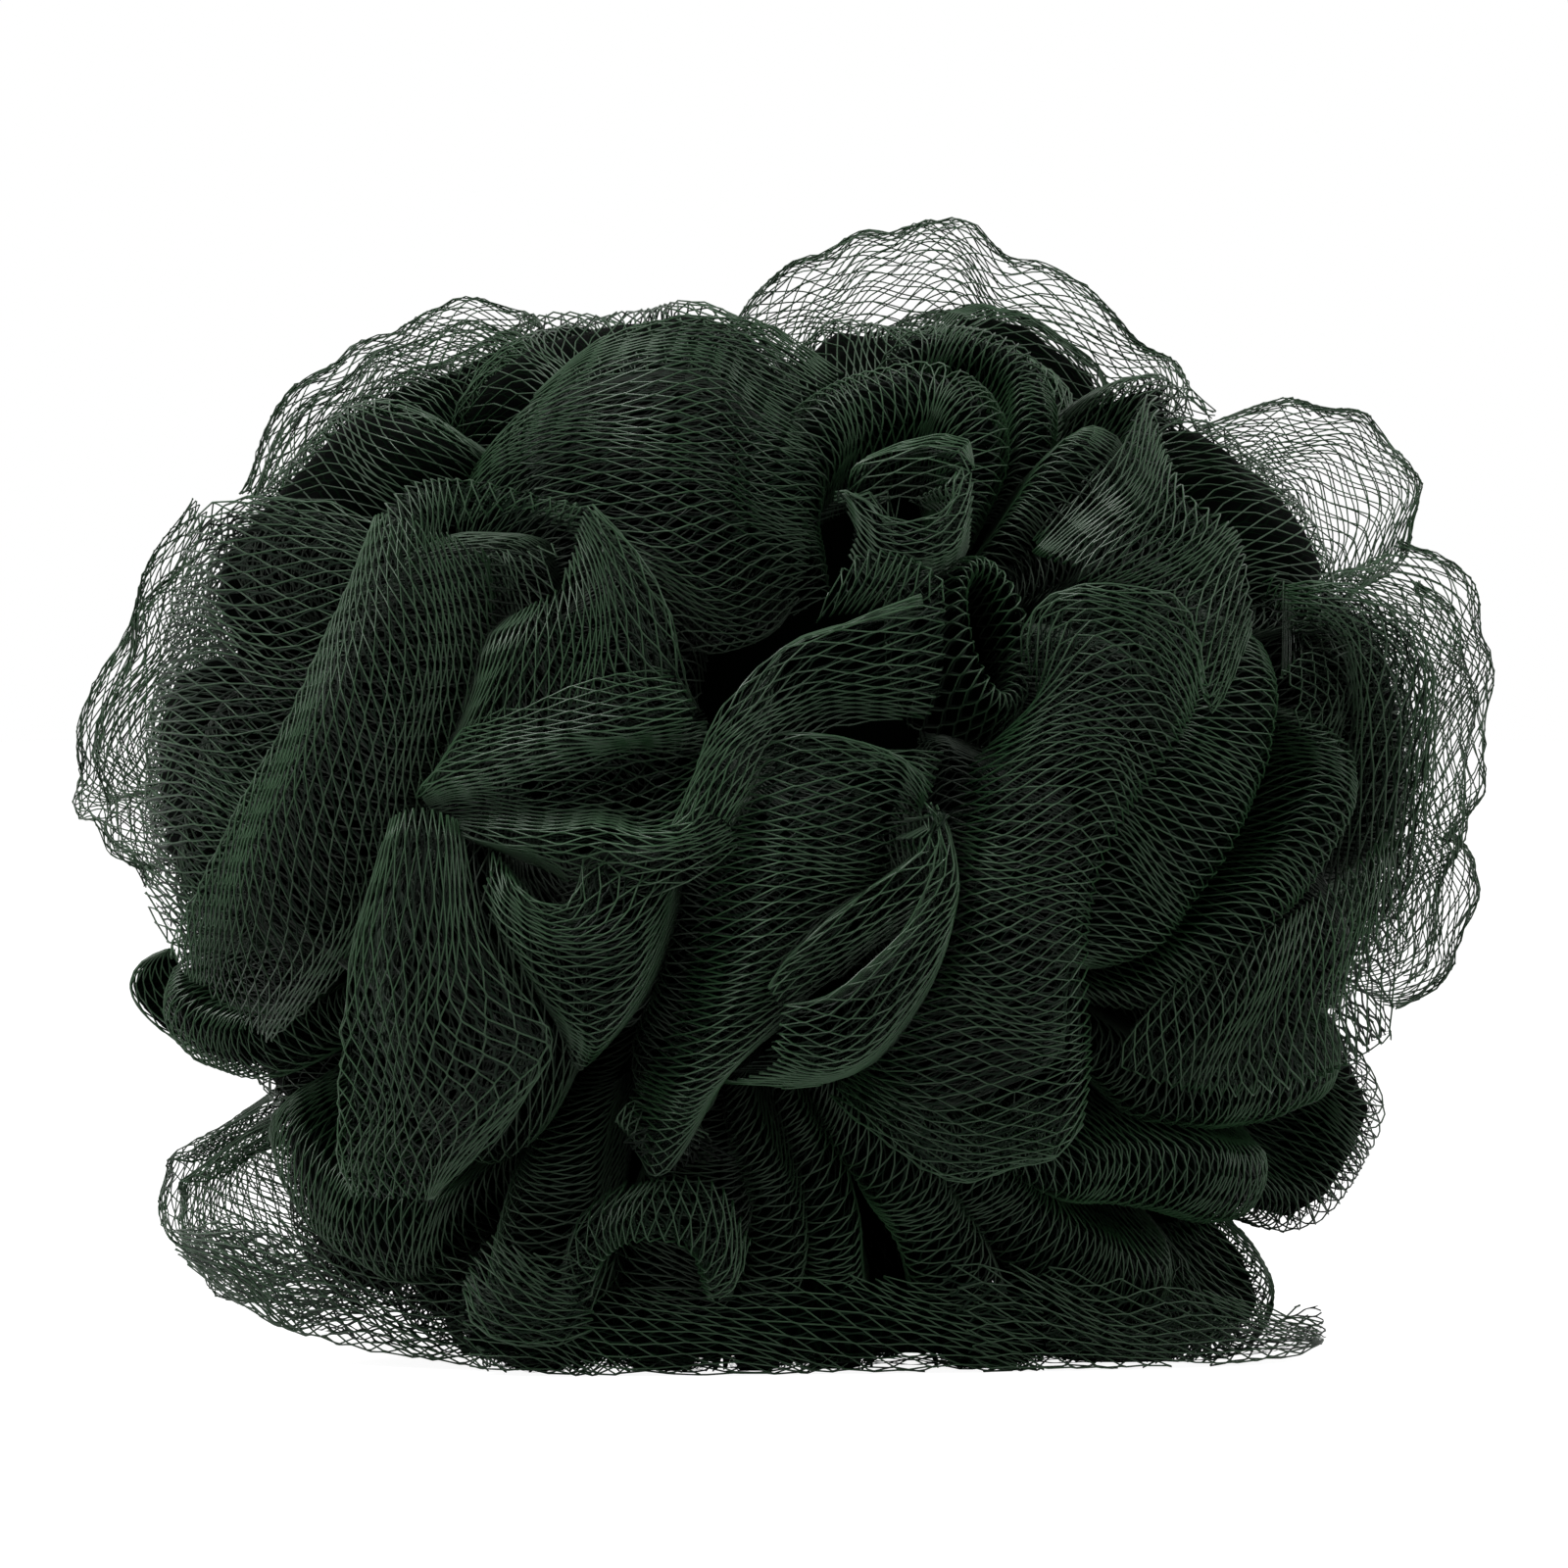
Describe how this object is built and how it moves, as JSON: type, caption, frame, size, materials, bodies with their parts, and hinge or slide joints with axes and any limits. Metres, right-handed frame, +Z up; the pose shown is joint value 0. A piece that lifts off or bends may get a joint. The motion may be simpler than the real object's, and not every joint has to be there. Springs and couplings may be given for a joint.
{
  "type": "bath pouf",
  "caption": "Ruffled bath pouf of diamond netting, gathered and tied at its waist.",
  "frame": {"origin": "middle of the base that the pouf rests on", "axes": "+X across the pouf, to the right in the picture; -Y towards the viewer, along the tie's axis; +Z up"},
  "size_m": [0.1398, 0.1188, 0.1103],
  "materials": {
    "green_net": "soft extruded polyethylene net, dark green and slightly translucent",
    "green_cord": "braided cord, dark green"
  },
  "bodies": {
    "root": {"netting": "green_net", "centre_tie": "green_cord"}
  },
  "joints": []
}
